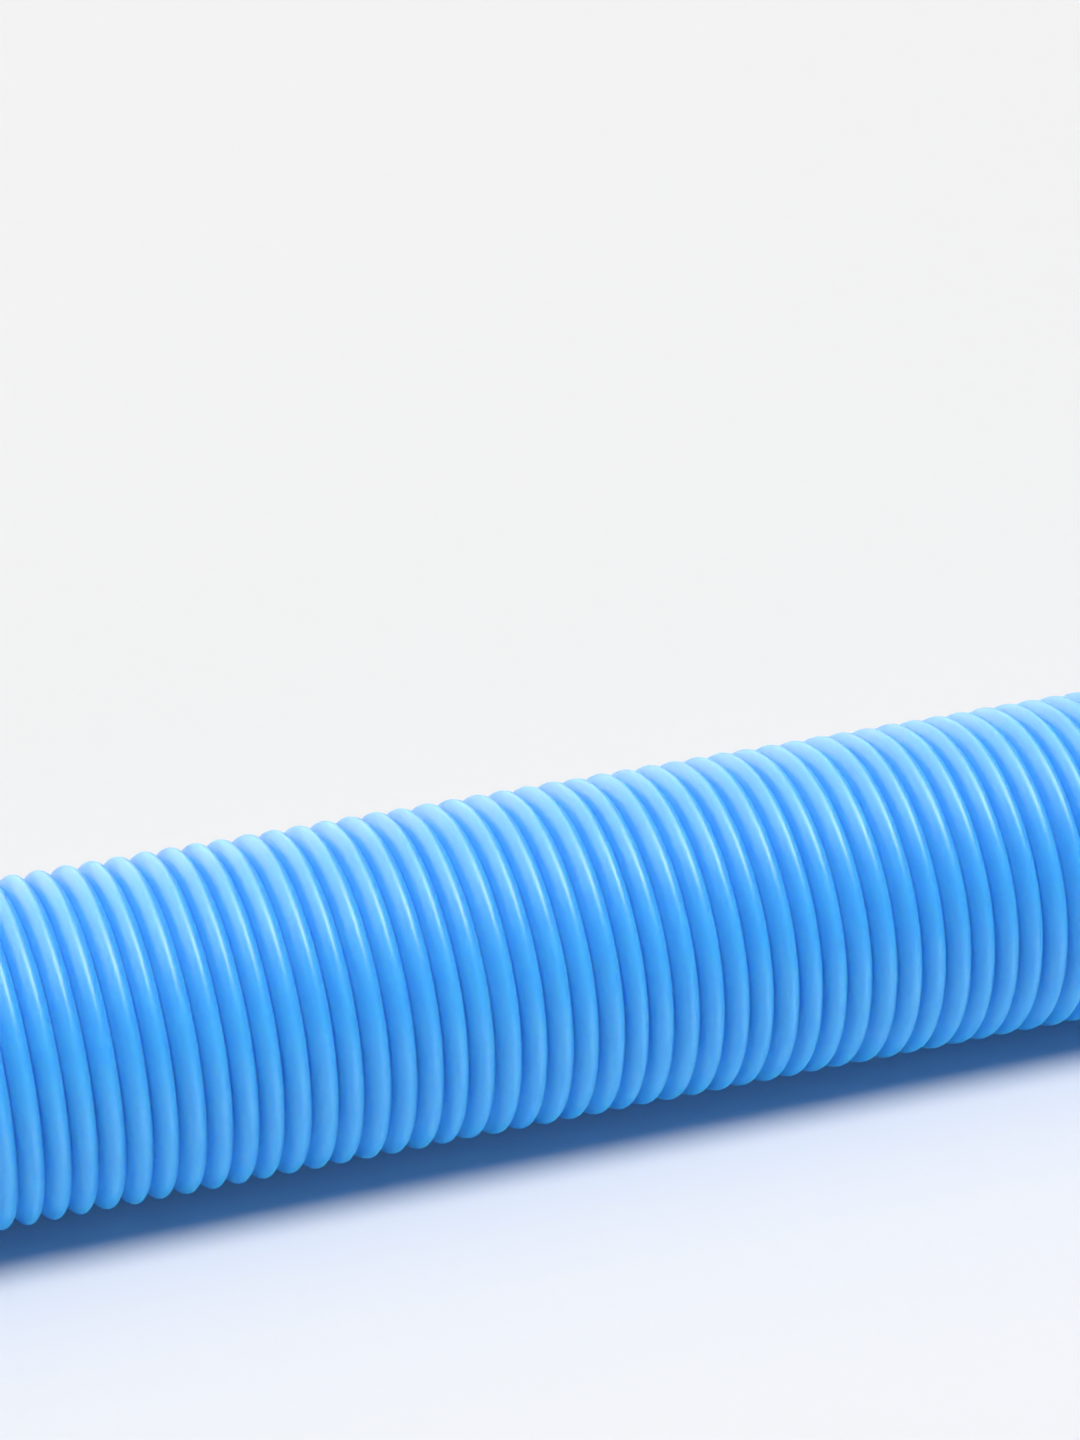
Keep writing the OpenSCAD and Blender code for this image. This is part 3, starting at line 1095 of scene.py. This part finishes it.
@dataclass
class FixedCuff:
    """The plain cuff on the hose's other end."""

    route: HoseRoute
    mouth: Mouth = field(default_factory=Mouth)
    stop_t: float = 2.0
    neck: float = 4.0
    socket: float = 35.0
    socket_r: float = 22.6
    outer_r: float = 25.5

    def build(self) -> bpy.types.Object:
        """Makes the cuff and returns it."""
        m, hose_at = self.mouth, self.mouth.depth + self.stop_t
        end = self.route.line[-1]
        ahead = unit(end - self.route.line[-2])
        axis = CuffAxis(tuple(end + hose_at * ahead), tuple(-ahead))
        corners = [
            *m.corners,
            Corner(hose_at - self.neck, m.outer_r, 1.2),
            Corner(hose_at - self.neck, self.outer_r, 1.3),
            Corner(hose_at + self.socket, self.outer_r, 1.2),
            Corner(hose_at + self.socket, self.socket_r, 0.4),
            Corner(hose_at, self.socket_r),
            Corner(hose_at, m.stop_r),
            Corner(m.depth, m.stop_r),
            Corner(m.depth, m.bore_r),
        ]
        mesh = axis.turned("fixed_cuff_turned", corners, m.segments, m.step, m.grip)
        return add_piece(mesh, MouldedPolythene(), Body.HOSE, ["fixed_cuff"], CRISP_DEG)


# ---- Straps ----


@dataclass(frozen=True)
class Webbing:
    """Flat webbing that is laid along a line in a plane."""

    width: float = 25.0
    thickness: float = 2.0

    @cached_property
    def section(self) -> np.ndarray:
        """The webbing's cross-section: place across its width, and through its thickness."""
        half, edge = self.width / 2, self.thickness / 2
        flat = np.linspace(-(half - edge), half - edge, 9)
        turn = np.radians(np.linspace(-60, 60, 5))
        right = np.stack([half - edge + edge * np.cos(turn), edge * np.sin(turn)], axis=1)
        below = np.stack([flat, np.full_like(flat, -edge)], axis=1)
        return np.concatenate([below, right, -below, -right])

    def laid(self, line: np.ndarray, closed: bool) -> tuple[np.ndarray, np.ndarray, np.ndarray]:
        """Lays the webbing along a line.

        Args:
            line: Points of its middle in the plane, with its outside on their right.
            closed: Whether the line's end joins its start.

        Returns:
            Points as place in the plane and place across, faces, and the webbing's own places.
        """
        if closed:
            ahead = np.roll(line, -1, axis=0) - np.roll(line, 1, axis=0)
        else:
            ahead = np.gradient(line, axis=0)
        ahead = unit(ahead)
        outwards = np.stack([ahead[:, 1], -ahead[:, 0]], axis=1)
        rows = len(line)
        across, through = self.section[:, 0], self.section[:, 1]
        flat = line[:, None, :] + through[None, :, None] * outwards[:, None, :]
        width = np.broadcast_to(across[None, :, None], (rows, len(across), 1))
        steps = np.linalg.norm(np.diff(line, axis=0), axis=1)
        along = np.concatenate([[0.0], np.cumsum(steps)])
        own = np.stack(np.broadcast_arrays(along[:, None], across[None, :]), axis=-1)
        points = np.concatenate([flat, width], axis=-1).reshape(-1, 3)
        quads = grid_quads(rows, len(across), closed, True)
        if not closed:
            quads = np.concatenate([quads, self.caps(rows)])
        return points, quads, own.reshape(-1, 2)

    def caps(self, rows: int) -> np.ndarray:
        """Returns the faces that close both ends of webbing of that many rows."""
        count = len(self.section)
        half = count // 2
        k = np.arange(half - 1)
        start = np.stack([k, (count - 1 - k) % count, (count - 2 - k) % count, k + 1], axis=1)
        end = start[:, ::-1] + (rows - 1) * count
        return np.concatenate([start, end])


@dataclass(frozen=True)
class CoilSection:
    """The upright plane through the coil's middle in which a strap lies: X outwards, Y up."""

    route: HoseRoute
    turn: float
    arc_deg: float = 5.0
    side_step: float = 4.0

    @cached_property
    def turns(self) -> np.ndarray:
        """Centres of the hose's turns in the plane, the outermost on the floor first."""
        at = np.arange(self.turn, self.route.coil_turns, 1.0)
        return np.stack([self.route.coil_r(at), self.route.coil_height(at)], axis=1)

    @property
    def low(self) -> np.ndarray:
        """Centre of the outermost turn on the floor."""
        return self.turns[0]

    @property
    def high(self) -> np.ndarray:
        """Centre of the outermost turn on top."""
        return self.turns[-1]

    def outline(self, away: float) -> np.ndarray:
        """Returns a closed line round all the turns, that far from their centres, anticlockwise."""
        order = self.hull()
        points: list[np.ndarray] = []
        for k, centre in enumerate(order):
            before, after = order[k - 1], order[(k + 1) % len(order)]
            normals = [
                math.atan2(-(b - a)[0], (b - a)[1]) for a, b in ((before, centre), (centre, after))
            ]
            sweep = (normals[1] - normals[0]) % TURN
            count = max(2, round(sweep / math.radians(self.arc_deg)))
            for share in np.linspace(0, 1, count):
                angle = normals[0] + sweep * share
                points.append(centre + away * np.array([math.cos(angle), math.sin(angle)]))
        return divide_outline(points, self.side_step)

    def hull(self) -> list[np.ndarray]:
        """Returns the turns' centres that a tight band round them would touch, anticlockwise."""
        ordered = sorted(self.turns.tolist())

        def chain(points: Sequence[Sequence[float]]) -> list[Sequence[float]]:
            """Returns the points that turn left all the way, without the last."""
            kept: list[Sequence[float]] = []
            for p in points:
                while len(kept) > 1 and (
                    (kept[-1][0] - kept[-2][0]) * (p[1] - kept[-2][1])
                    - (kept[-1][1] - kept[-2][1]) * (p[0] - kept[-2][0])
                    <= 0
                ):
                    kept.pop()
                kept.append(p)
            return kept[:-1]

        return [np.array(p) for p in chain(ordered) + chain(ordered[::-1])]

    def placed(self, points: np.ndarray) -> np.ndarray:
        """Takes points of the plane, with their places across it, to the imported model's frame."""
        azimuth = float(self.route.coil_azimuth(self.turn))
        x, y = self.route.coil_centre
        outwards = np.array([math.cos(azimuth), math.sin(azimuth), 0.0])
        across = np.array([-math.sin(azimuth), math.cos(azimuth), 0.0])
        return (
            np.array([x, y, 0.0])
            + points[:, :1] * outwards
            + points[:, 1:2] * UP
            + points[:, 2:] * across
        )


@dataclass
class CinchStrap:
    """A strap round the coil: a band, its end sewn on a wire ring's lower bar, and its tail."""

    section: CoilSection
    number: int
    webbing: Webbing = field(default_factory=Webbing)
    hose_r: float = 22.5
    snug: float = 0.2
    wire_r: float = 2.0
    bar_gap: float = 0.2
    bars_apart: float = 16.0
    sewn_end: float = 16.0
    tail_in: float = 60.0
    ring_corner: float = 4.5
    ring_slack: float = 0.6
    # How far the seams stay below the bar, and in from the sewn end and from the edges.
    seam_below: float = 5.5
    seam_end: float = 1.8
    seam_side: float = 3.0
    stitch: float = 2.4
    stitch_half: float = 0.42
    thread_r: float = 0.32
    thread_flat: float = 0.8

    @property
    def frame(self) -> tuple[np.ndarray, np.ndarray, np.ndarray]:
        """The buckle's own place: on the band's face, with the directions down and outwards."""
        along = unit(self.section.low - self.section.high)
        out = np.array([-along[1], along[0]])
        away = self.hose_r + self.snug + self.webbing.thickness
        return (self.section.low + self.section.high) / 2 + away * out, along, out

    def from_buckle(self, down: np.ndarray | float, out: np.ndarray | float) -> np.ndarray:
        """Takes places down from the buckle's middle and out from the band's face to the plane."""
        origin, along, outwards = self.frame
        down, out = np.broadcast_arrays(down, out)
        return origin + down[..., None] * along + out[..., None] * outwards

    @property
    def bar_out(self) -> float:
        """How far the bars' middles are from the band's face."""
        return self.wire_r + self.bar_gap + self.webbing.thickness

    def loop(self, side: int) -> np.ndarray:
        """Returns the line of webbing round one bar, from the band's face and round the bar."""
        r = self.wire_r + self.bar_gap + self.webbing.thickness / 2
        angle = np.radians(np.linspace(-90, 215, 40))
        down = side * self.bars_apart / 2 - side * r * np.cos(angle)
        return self.from_buckle(down, self.bar_out + r * np.sin(angle))

    def sewn(self) -> np.ndarray:
        """Returns the line of the sewn end: along the band and round the lower bar."""
        down = np.linspace(self.bars_apart / 2 + self.sewn_end, self.bars_apart / 2, 9)[:-1]
        flap = self.from_buckle(down, self.webbing.thickness / 2)
        return np.concatenate([flap, self.loop(1)])

    def tail(self) -> np.ndarray:
        """Returns the line of the tail: round the upper bar, then over the top of the coil."""
        away = self.hose_r + self.snug + 1.5 * self.webbing.thickness
        outline = self.section.outline(away)
        start = self.from_buckle(-self.bars_apart / 2, self.webbing.thickness / 2)
        first = int(np.argmin(np.linalg.norm(outline - start, axis=1)))
        going = np.roll(outline, -first, axis=0)
        _, along, _ = self.frame
        going = going[int(np.argmax((going - start) @ -along > 1.0)) :]
        end_x = self.section.low[0] - self.tail_in
        end_y = self.section.low[1] + self.hose_r
        past = np.nonzero((going[:, 0] < end_x) | (going[:, 1] < end_y))[0]
        over = going[: int(past[0])]
        return np.concatenate([self.loop(-1)[::-1], over])

    def webbing_mesh(self) -> bpy.types.Mesh:
        """Returns the band, the sewn end and the tail in one mesh."""
        band = self.section.outline(self.hose_r + self.snug + self.webbing.thickness / 2)
        lines = [(band[::-1], True), (self.sewn(), False), (self.tail()[::-1], False)]
        points, quads, own, count = [], [], [], 0
        for line, closed in lines:
            some_points, some_quads, some_own = self.webbing.laid(line, closed)
            points.append(some_points)
            quads.append(some_quads + count)
            own.append(some_own)
            count += len(some_points)
        placed = self.section.placed(np.concatenate(points))
        mesh = make_mesh(f"strap_{self.number}_webbing", placed, np.concatenate(quads))
        places = np.concatenate(own) * MM
        corner = np.empty(len(mesh.loops), np.int32)
        mesh.loops.foreach_get("vertex_index", corner)
        layer = mesh.uv_layers.new(name="webbing")
        layer.data.foreach_set("uv", places[corner].astype(np.float32).ravel())
        return mesh

    def stitch_lines(self) -> list[tuple[np.ndarray, np.ndarray]]:
        """Returns the ends of the seams on the sewn end: a box with a cross in it."""
        top = self.bars_apart / 2 + self.seam_below
        bottom = self.bars_apart / 2 + self.sewn_end - self.seam_end
        side = self.webbing.width / 2 - self.seam_side
        box = [(top, -side), (top, side), (bottom, side), (bottom, -side)]
        pairs = [(0, 1), (1, 2), (2, 3), (3, 0), (0, 2), (1, 3)]
        return [(np.array(box[a]), np.array(box[b])) for a, b in pairs]

    def stitches_mesh(self) -> bpy.types.Mesh:
        """Returns the stitches, each a rounded length of thread that dips in at its ends."""
        rings, sides = 7, 6
        share = np.linspace(-1, 1, rings)
        thick = self.thread_r * np.sqrt(np.clip(1.04 - share**2, 0.02, 1))
        angle = TURN * np.arange(sides) / sides
        points, quads, count = [], [], 0
        for start, end in self.stitch_lines():
            number = max(2, round(float(np.linalg.norm(end - start)) / self.stitch))
            ahead = unit(end - start)
            beside = np.array([-ahead[1], ahead[0]])
            for k in range(number):
                middle = start + (end - start) * (k + 0.5) / number
                spine = middle + np.outer(share * self.stitch * self.stitch_half, ahead)
                flat = spine[:, None, :] + (thick[:, None] * np.cos(angle))[..., None] * beside
                out = self.webbing.thickness + thick[:, None] * np.sin(angle) * self.thread_flat
                plane = self.from_buckle(flat[..., 0], out)
                points.append(np.concatenate([plane, flat[..., 1:]], axis=-1).reshape(-1, 3))
                quads.append(grid_quads(rings, sides, False, True) + count)
                count += rings * sides
        placed = self.section.placed(np.concatenate(points))
        return make_mesh(f"strap_{self.number}_stitches", placed, np.concatenate(quads))

    def ring_mesh(self) -> bpy.types.Mesh:
        """Returns the wire ring: two bars and two sides, bent from one wire."""
        half_width = self.webbing.width / 2 + self.ring_slack + self.wire_r
        half = np.array([self.bars_apart / 2, half_width])
        line: list[np.ndarray] = []
        for down, across, first in ((1, 1, 0), (-1, 1, 90), (-1, -1, 180), (1, -1, 270)):
            centre = np.array([down, across]) * (half - self.ring_corner)
            for degrees in range(first, first + 91, 10):
                turned = math.radians(degrees)
                arm = np.array([math.cos(turned), math.sin(turned)])
                line.append(centre + self.ring_corner * arm)
        middle = np.array(line)
        ahead = unit(np.roll(middle, -1, axis=0) - np.roll(middle, 1, axis=0))
        beside = np.stack([ahead[:, 1], -ahead[:, 0]], axis=1)
        sides = 16
        angle = TURN * np.arange(sides) / sides
        flat = middle[:, None, :] + self.wire_r * np.cos(angle)[None, :, None] * beside[:, None, :]
        out = np.broadcast_to(self.bar_out + self.wire_r * np.sin(angle), flat.shape[:2])
        plane = self.from_buckle(flat[..., 0], out)
        points = np.concatenate([plane, flat[..., 1:]], axis=-1).reshape(-1, 3)
        quads = grid_quads(len(middle), sides, True, True)
        return make_mesh(f"buckle_{self.number}_ring", self.section.placed(points), quads)

    def build(self) -> list[bpy.types.Object]:
        """Makes the strap's webbing, stitches and ring, and returns them."""
        woven, wire = WovenPolypropylene(), DrawnStainless()
        strap, buckle = [f"strap_{self.number}"], [f"buckle_{self.number}"]
        return [
            add_piece(self.webbing_mesh(), woven, Body.HOSE, strap, SHARP_DEG),
            add_piece(self.stitches_mesh(), SewingThread(), Body.HOSE),
            add_piece(self.ring_mesh(), wire, Body.HOSE, buckle),
        ]


# ---- Studio ----


@dataclass(frozen=True)
class Viewpoint:
    """Where the camera stands, how it is turned, and its lens."""

    place: tuple[float, float, float] = (-355.03, -203.71, 302.26)
    heading_deg: float = 18.383
    dip_deg: float = 26.615
    roll_deg: float = -0.997
    # The focal length, on a picture whose long side has that many points.
    focal_points: float = 4197.9
    long_side: int = 1440
    sensor_mm: float = 36.0
    clip_m: tuple[float, float] = (0.01, 50.0)

    def build(self) -> None:
        """Makes the camera and gives it to the scene."""
        heading, dip = math.radians(self.heading_deg), math.radians(self.dip_deg)
        ahead = Vector(
            (
                math.sin(heading) * math.cos(dip),
                math.cos(heading) * math.cos(dip),
                -math.sin(dip),
            )
        )
        level = Vector((math.cos(heading), -math.sin(heading), 0.0))
        upright = level.cross(ahead)
        roll = math.radians(self.roll_deg)
        right = math.cos(roll) * level + math.sin(roll) * upright
        up = math.cos(roll) * upright - math.sin(roll) * level
        data = bpy.data.cameras.new("camera")
        data.sensor_fit = "AUTO"
        data.sensor_width = self.sensor_mm
        data.lens = self.focal_points / self.long_side * self.sensor_mm
        data.clip_start, data.clip_end = self.clip_m
        camera = bpy.data.objects.new("camera", data)
        turn = Matrix((right, up, -ahead)).transposed()
        camera.matrix_world = Matrix.Translation(Vector(self.place) * MM) @ turn.to_4x4()
        bpy.context.scene.collection.objects.link(camera)
        bpy.context.scene.camera = camera


class Reach(Enum):
    """What a light shows in: the sheen, the body of a surface, or both."""

    ALL = "all"
    SHEEN = "sheen"
    BODY = "body"


@dataclass(frozen=True)
class SoftLight:
    """A distant soft light: where it shines from, how wide it looks, and its strength."""

    name: str
    azimuth_deg: float
    elevation_deg: float
    width_deg: float
    strength: float
    reach: Reach = Reach.ALL

    def build(self) -> None:
        """Makes the light."""
        azimuth, elevation = math.radians(self.azimuth_deg), math.radians(self.elevation_deg)
        towards = Vector(
            (
                math.cos(azimuth) * math.cos(elevation),
                math.sin(azimuth) * math.cos(elevation),
                math.sin(elevation),
            )
        )
        data = bpy.data.lights.new(self.name, "SUN")
        data.energy = self.strength
        data.angle = math.radians(self.width_deg)
        light = bpy.data.objects.new(self.name, data)
        light.rotation_mode = "QUATERNION"
        light.rotation_quaternion = towards.to_track_quat("Z", "Y")
        light.visible_diffuse = self.reach is not Reach.SHEEN
        light.visible_glossy = self.reach is not Reach.BODY
        bpy.context.scene.collection.objects.link(light)


STAGE_SIDES = 64


def level_rings(places: Sequence[tuple[float, float]]) -> np.ndarray:
    """Returns the points of level rings, each given as its radius and its height."""
    angle = TURN * np.arange(STAGE_SIDES) / STAGE_SIDES
    level = np.stack([np.cos(angle), np.sin(angle)], axis=1)
    rings = [np.column_stack([r * level, np.full(STAGE_SIDES, z)]) for r, z in places]
    return np.concatenate(rings)


def add_stage(mesh: bpy.types.Mesh, finish: Finish) -> bpy.types.Object:
    """Puts a part of the studio in the scene.

    Args:
        mesh: Its mesh, whose name it takes.
        finish: What it is made of.

    Returns:
        The part of the studio, which throws no shadow.
    """
    mesh.materials.append(finish.material())
    thing = bpy.data.objects.new(mesh.name, mesh)
    bpy.context.scene.collection.objects.link(thing)
    thing.visible_shadow = False
    return thing


@dataclass(frozen=True)
class Studio:
    """A pale floor, a pale backdrop, an even sky and soft lights."""

    floor_r: float = 12000.0
    # The floor's rings of points, as shares of its radius.
    floor_rings: tuple[float, ...] = (0.02, 0.2, 1.0)
    backdrop_h: float = 9000.0
    sky: str = "#efefef"
    sky_strength: float = 0.06
    lights: tuple[SoftLight, ...] = (
        SoftLight("key", azimuth_deg=-26.0, elevation_deg=59.0, width_deg=24.0, strength=2.3),
        # The key is long: this is its dimmer left part, which throws the same shadow.
        SoftLight(
            "key_left",
            azimuth_deg=-151.5,
            elevation_deg=58.2,
            width_deg=24.0,
            strength=1.15,
            reach=Reach.BODY,
        ),
        # Its upper part, which draws the highlight out round the hose.
        SoftLight(
            "key_sheen",
            azimuth_deg=-6.0,
            elevation_deg=68.0,
            width_deg=44.0,
            strength=3.7,
            reach=Reach.SHEEN,
        ),
        SoftLight("overhead", azimuth_deg=0.0, elevation_deg=90.0, width_deg=60.0, strength=0.15),
        SoftLight(
            "rim",
            azimuth_deg=145.0,
            elevation_deg=48.0,
            width_deg=60.0,
            strength=1.0,
            reach=Reach.BODY,
        ),
        SoftLight(
            "front",
            azimuth_deg=-90.0,
            elevation_deg=0.0,
            width_deg=40.0,
            strength=0.62,
            reach=Reach.BODY,
        ),
        SoftLight("bounce", azimuth_deg=-60.0, elevation_deg=-30.0, width_deg=40.0, strength=0.7),
        SoftLight(
            "behind",
            azimuth_deg=118.0,
            elevation_deg=38.0,
            width_deg=110.0,
            strength=8.5,
            reach=Reach.SHEEN,
        ),
    )

    def add_floor(self) -> None:
        """Makes the floor, which the light that comes from below shines through.

        That light stands for what a wide bright floor throws back.
        """
        points = level_rings([(share * self.floor_r, 0.0) for share in self.floor_rings])
        quads = grid_quads(len(self.floor_rings), STAGE_SIDES, False, True)[:, ::-1]
        last = STAGE_SIDES - 1
        strips = range(STAGE_SIDES // 2 - 1)
        middle = np.array([[k, k + 1, last - 1 - k, last - k] for k in strips])
        add_stage(make_mesh("floor", points, np.concatenate([quads, middle])), StudioCard())

    def add_backdrop(self) -> None:
        """Makes the backdrop, which is seen but lights nothing."""
        points = level_rings([(self.floor_r, 0.0), (self.floor_r, self.backdrop_h)])
        paper = make_mesh("backdrop", points, grid_quads(2, STAGE_SIDES, False, True))
        backdrop = add_stage(paper, BackdropPaper())
        backdrop.visible_diffuse = False
        backdrop.visible_glossy = False

    def add_sky(self) -> None:
        """Makes the even sky."""
        world = bpy.data.worlds.new("sky")
        world.use_nodes = True
        tree = world.node_tree
        tree.nodes.clear()
        look = {"Color": linear(self.sky), "Strength": self.sky_strength}
        sky = add_node(tree, "ShaderNodeBackground", look)
        add_node(tree, "ShaderNodeOutputWorld", links={"Surface": sky.outputs["Background"]})
        bpy.context.scene.world = world

    def build(self) -> None:
        """Makes the whole studio, and shows colours as they are."""
        self.add_floor()
        self.add_backdrop()
        self.add_sky()
        bpy.context.scene.view_settings.view_transform = "Standard"
        for light in self.lights:
            light.build()


STRAP_TURNS = (0.23, 0.56, 0.89)


def main() -> None:
    """Builds the studio and the hose."""
    logging.basicConfig(level=logging.INFO, format="%(name)s: %(message)s")
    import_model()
    Viewpoint().build()
    hose = RibbedHose()
    straps = [
        piece
        for number, turn in enumerate(STRAP_TURNS, 1)
        for piece in CinchStrap(CoilSection(hose.route, turn), number).build()
    ]
    cuff = FixedCuff(hose.route).build()
    hose.build([cuff], straps)
    SwivelCuff(hose.route).build()
    Studio().build()


if __name__ == "__main__":
    main()
